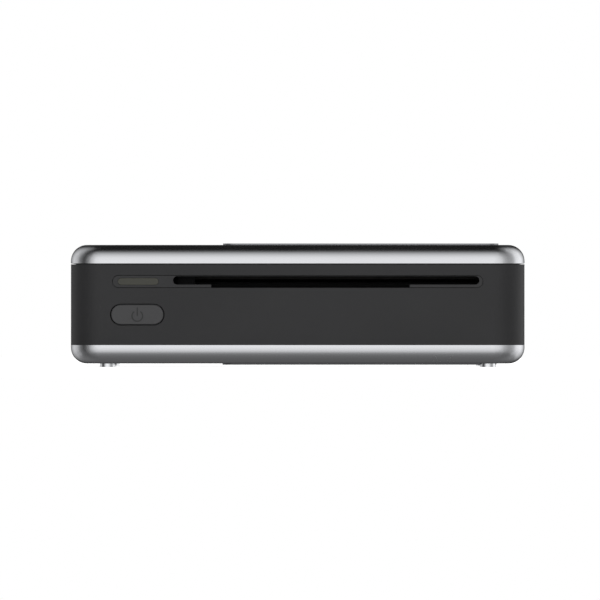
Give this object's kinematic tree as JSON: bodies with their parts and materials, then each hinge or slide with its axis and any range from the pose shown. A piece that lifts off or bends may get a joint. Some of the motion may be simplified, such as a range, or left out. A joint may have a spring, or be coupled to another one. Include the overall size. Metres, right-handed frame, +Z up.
{
  "type": "portable photo printer",
  "caption": "Pocket photo printer: flat case with silver shells, dark band, front paper slot and button, rear-hinged cover over paper tray, rollers and print head.",
  "frame": {"origin": "middle of the footprint, on the surface that the feet stand on", "axes": "+X to the right seen from the front, +Y from the slot face to the hinge, +Z up"},
  "size_m": [0.075, 0.12, 0.0204],
  "materials": {
    "silver_shell": "satin metallic paint",
    "brushed_plate": "fine brushed",
    "dark_body": "fine textured black plastic",
    "dark_insert": "satin black plastic",
    "button_plastic": "satin grey plastic",
    "smoke_lens": "translucent smoke plastic",
    "chrome_stud": "polished",
    "plated_screw": "nickel plated",
    "sheet_steel": "zinc plated sheet",
    "ground_steel": "ground bar",
    "rubber": "matt ground rubber",
    "gear_plastic": "natural acetal",
    "bushing_plastic": "sintered bearing",
    "inner_plastic": "textured black plastic",
    "aluminium": "milled",
    "ceramic": "glazed white",
    "board": "green solder mask",
    "chip": "moulded black resin",
    "connector": "ivory nylon",
    "battery": "blue shrink wrap",
    "magnet": "nickel plated magnet",
    "spring_steel": "spring strip",
    "foam": "soft friction pad",
    "light": "clear epoxy"
  },
  "bodies": {
    "case": {"base_plate": "brushed_plate", "base_shell": "silver_shell", "battery_pack": "battery", "board_chips": "chip", "board_connectors": "connector", "board_shield": "sheet_steel", "button_board": "board", "case_screws": "plated_screw", "charge_light_pipe": "light", "crossbar": "sheet_steel", "exit_guide": "inner_plastic", "feet": "chrome_stud", "frame_magnets": "magnet", "gear_clips": "spring_steel", "gear_motor": "sheet_steel", "gear_posts": "ground_steel", "head_springs": "spring_steel", "hinge_pins": "ground_steel", "inner_screws": "plated_screw", "led_lens": "smoke_lens", "left_side_plate": "sheet_steel", "main_board": "board", "mid_frame": "dark_body", "paper_guide": "sheet_steel", "paper_tray": "inner_plastic", "power_switch": "plated_screw", "reset_switch": "chip", "right_side_plate": "sheet_steel", "shaft_bushings": "bushing_plastic", "slot_bezel": "dark_insert", "status_led": "light", "usb_socket": "sheet_steel"},
    "cover": {"top_cover": "silver_shell", "cover_plate": "brushed_plate", "cover_liner": "inner_plastic", "cover_keepers": "sheet_steel", "pressure_springs": "spring_steel"},
    "pressure_plate": {"pressure_plate": "inner_plastic", "pressure_pads": "foam"},
    "print_head": {"head_carrier": "aluminium", "head_heat_sink": "aluminium", "head_ceramic": "ceramic", "head_connector": "connector"},
    "feed_roller": {"feed_roller": "ground_steel", "feed_gear": "gear_plastic"},
    "platen": {"platen_roller": "rubber", "platen_shaft": "ground_steel", "platen_gear": "gear_plastic"},
    "pinch_roller": {"pinch_roller": "ground_steel"},
    "pickup": {"pickup_shaft": "ground_steel", "pickup_tyres": "rubber", "pickup_gear": "gear_plastic"},
    "transfer_gear": {"transfer_gear": "gear_plastic"},
    "drive_gear": {"drive_gear": "gear_plastic"},
    "motor_rotor": {"motor_shaft": "ground_steel", "motor_pinion": "gear_plastic"},
    "power_button": {"power_button": "button_plastic"},
    "reset_plunger": {"reset_plunger": "button_plastic"}
  },
  "joints": [
    {"name": "cover_hinge", "type": "hinge", "parent": "case", "child": "cover", "pos_m": [0, 0.05735, 0.01755], "axis": [-1, 0, 0], "range_deg": [0, 90]},
    {"name": "pressure_plate_slide", "type": "slide", "parent": "cover", "child": "pressure_plate", "axis": [0, 0, 1], "range_m": [0, 0.0022], "stiffness_N_per_m": 300, "springref_m": -0.0015, "deforming": ["pressure_springs"]},
    {"name": "head_pivot", "type": "hinge", "parent": "case", "child": "print_head", "pos_m": [0, -0.0425, 0.0159], "axis": [-1, 0, 0], "range_deg": [0, 2], "stiffness_Nm_per_rad": 0.5, "springref_deg": -2.86, "deforming": ["head_springs"]},
    {"name": "power_button_press", "type": "slide", "parent": "case", "child": "power_button", "axis": [0, 1, 0], "range_m": [0, 0.0003], "stiffness_N_per_m": 2000, "springref_m": -0.0002},
    {"name": "reset_press", "type": "slide", "parent": "case", "child": "reset_plunger", "axis": [0, -1, 0], "range_m": [0, 0.00025], "stiffness_N_per_m": 1500, "springref_m": -0.0002},
    {"name": "feed_spin", "type": "hinge", "parent": "case", "child": "feed_roller", "pos_m": [0, -0.034, 0.0116], "axis": [1, 0, 0], "continuous": true},
    {"name": "platen_spin", "type": "hinge", "parent": "case", "child": "platen", "pos_m": [0, -0.05, 0.0106], "axis": [1, 0, 0], "continuous": true},
    {"name": "transfer_gear_spin", "type": "hinge", "parent": "case", "child": "transfer_gear", "pos_m": [0, -0.04122, 0.00864], "axis": [1, 0, 0], "continuous": true},
    {"name": "drive_gear_spin", "type": "hinge", "parent": "case", "child": "drive_gear", "pos_m": [0, -0.02701, 0.01196], "axis": [1, 0, 0], "continuous": true},
    {"name": "pickup_spin", "type": "hinge", "parent": "case", "child": "pickup", "pos_m": [0, -0.019, 0.0102], "axis": [1, 0, 0], "continuous": true},
    {"name": "motor_spin", "type": "hinge", "parent": "case", "child": "motor_rotor", "pos_m": [0, -0.02701, 0.00596], "axis": [1, 0, 0], "continuous": true},
    {"name": "pinch_spin", "type": "hinge", "parent": "case", "child": "pinch_roller", "pos_m": [0, -0.034, 0.0158], "axis": [1, 0, 0], "continuous": true}
  ],
  "couplings": [
    {"joint": "platen_spin", "follows": "feed_spin", "ratio": 0.71429},
    {"joint": "transfer_gear_spin", "follows": "feed_spin", "ratio": -0.625},
    {"joint": "drive_gear_spin", "follows": "feed_spin", "ratio": -0.75},
    {"joint": "pickup_spin", "follows": "feed_spin", "ratio": 0.71429},
    {"joint": "motor_spin", "follows": "feed_spin", "ratio": 1.5},
    {"joint": "pinch_spin", "follows": "feed_spin", "ratio": -1.6667}
  ]
}
